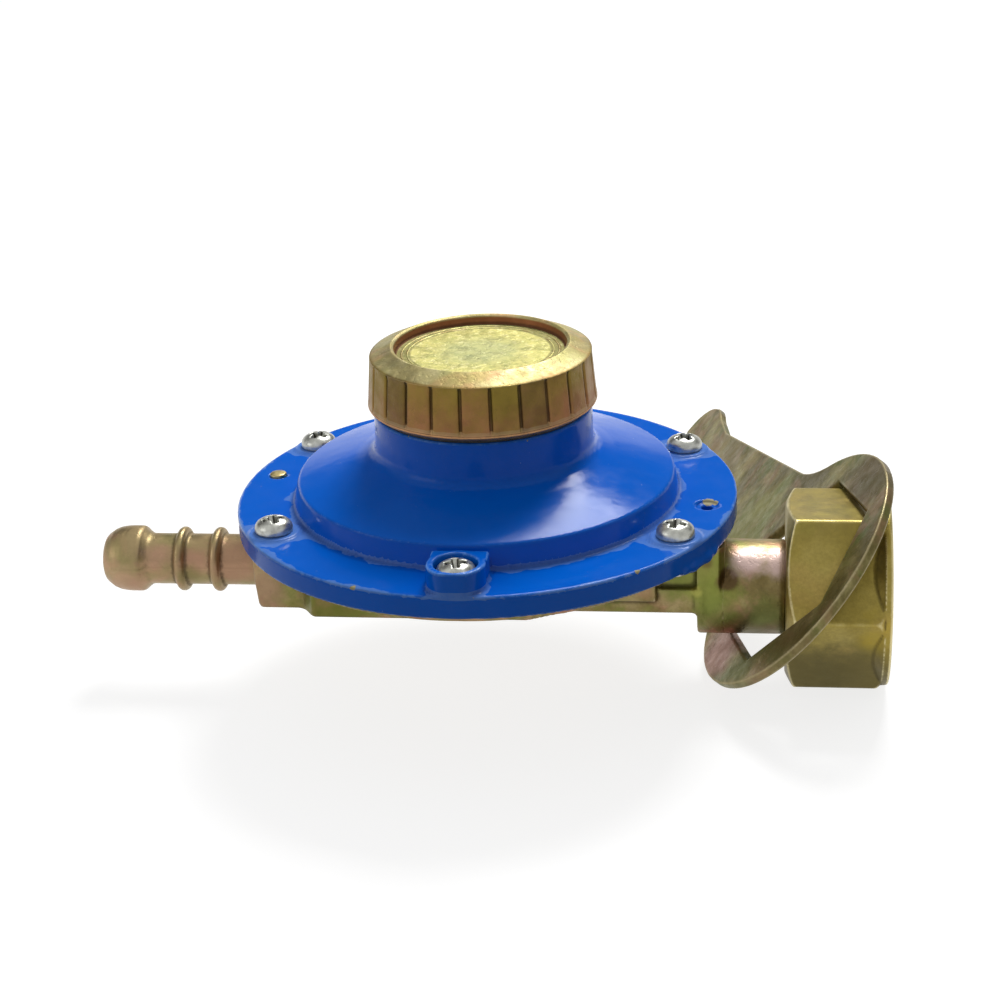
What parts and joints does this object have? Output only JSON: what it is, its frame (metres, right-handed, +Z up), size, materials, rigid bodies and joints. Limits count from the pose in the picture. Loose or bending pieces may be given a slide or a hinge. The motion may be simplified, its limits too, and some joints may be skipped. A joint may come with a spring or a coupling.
{
  "type": "gas pressure regulator",
  "caption": "Round diaphragm gas regulator with a side hose barb, a capped adjusting neck, a left-hand union nut and a flat spanner hung loosely on the nut.",
  "frame": {"origin": "where the union nut's thread begins, 0.7 mm inside its mouth, on the inlet axis", "axes": "+X out of the union nut's mouth along the inlet axis, +Z up along the diaphragm axis towards the cap"},
  "size_m": [0.1222, 0.1195, 0.0535],
  "materials": {
    "blue_enamel": "gloss",
    "chromated_casting": "satin",
    "chromated_cap": "satin",
    "chromated_steel": "satin",
    "chromated_nut": "satin",
    "screw_steel": "satin",
    "brass": "satin",
    "plated_steel": "satin",
    "black_rubber": "matte"
  },
  "bodies": {
    "housing": {"lower_body": "chromated_casting", "bonnet": "blue_enamel", "locating_pin": "brass", "cover_screws": "screw_steel", "diaphragm": "black_rubber", "main_spring": "plated_steel", "lever_pin": "plated_steel", "inlet_nozzle": "brass", "inlet_tail": "chromated_steel", "inlet_filter": "plated_steel", "tail_seal": "black_rubber"},
    "diaphragm_set": {"upper_diaphragm_plate": "plated_steel", "lower_diaphragm_plate": "plated_steel", "diaphragm_stem": "brass", "stem_nut": "plated_steel"},
    "valve_lever": {"lever": "plated_steel"},
    "plunger": {"valve_plunger": "brass", "seat_disc": "black_rubber"},
    "adjuster_seat": {"spring_seat": "plated_steel"},
    "adjuster": {"adjusting_screw": "chromated_casting"},
    "gasket": {"cap_gasket": "black_rubber"},
    "cap": {"bonnet_cap": "chromated_cap"},
    "nut": {"union_nut": "chromated_nut"},
    "loose_spanner": {"spanner": "chromated_steel"}
  },
  "joints": [
    {"name": "diaphragm_lift", "type": "slide", "parent": "housing", "child": "diaphragm_set", "axis": [0, 0, 1], "range_m": [0, 0.00115], "stiffness_N_per_m": 2000, "springref_m": -0.004, "deforming": ["main_spring", "diaphragm"]},
    {"name": "lever_rock", "type": "hinge", "parent": "housing", "child": "valve_lever", "pos_m": [-0.06985, 0, 0.0053], "axis": [0, -1, 0], "range_deg": [0, 6.6]},
    {"name": "plunger_slide", "type": "slide", "parent": "housing", "child": "plunger", "axis": [1, 0, 0], "range_m": [0, 0.00032]},
    {"name": "adjuster_travel", "type": "slide", "parent": "housing", "child": "adjuster_seat", "axis": [0, 0, 1], "range_m": [-0.003, 0.0015]},
    {"name": "adjuster_turn", "type": "hinge", "parent": "adjuster_seat", "child": "adjuster", "pos_m": [-0.05985, 0, 0.0312], "axis": [0, 0, 1], "range_deg": [-720, 360]},
    {"name": "cap_lift", "type": "slide", "parent": "housing", "child": "gasket", "axis": [0, 0, 1], "range_m": [0, 0.006]},
    {"name": "cap_turn", "type": "hinge", "parent": "gasket", "child": "cap", "pos_m": [-0.05985, 0, 0.0336], "axis": [0, 0, 1], "range_deg": [0, 1440]},
    {"name": "nut_turn", "type": "hinge", "parent": "housing", "child": "nut", "pos_m": [0, 0, 0], "axis": [1, 0, 0], "range_deg": [0, 55]},
    {"name": "spanner_rock", "type": "hinge", "parent": "nut", "child": "loose_spanner", "pos_m": [-0.01485, 0, -0.0072], "axis": [0, 1, 0], "range_deg": [-12, 0]}
  ],
  "couplings": [
    {"joint": "lever_rock", "follows": "diaphragm_lift", "rad_per_m": 100},
    {"joint": "plunger_slide", "follows": "diaphragm_lift", "ratio": 0.27},
    {"joint": "adjuster_turn", "follows": "adjuster_travel", "rad_per_m": 4188.8},
    {"joint": "cap_turn", "follows": "cap_lift", "rad_per_m": 4188.8}
  ]
}
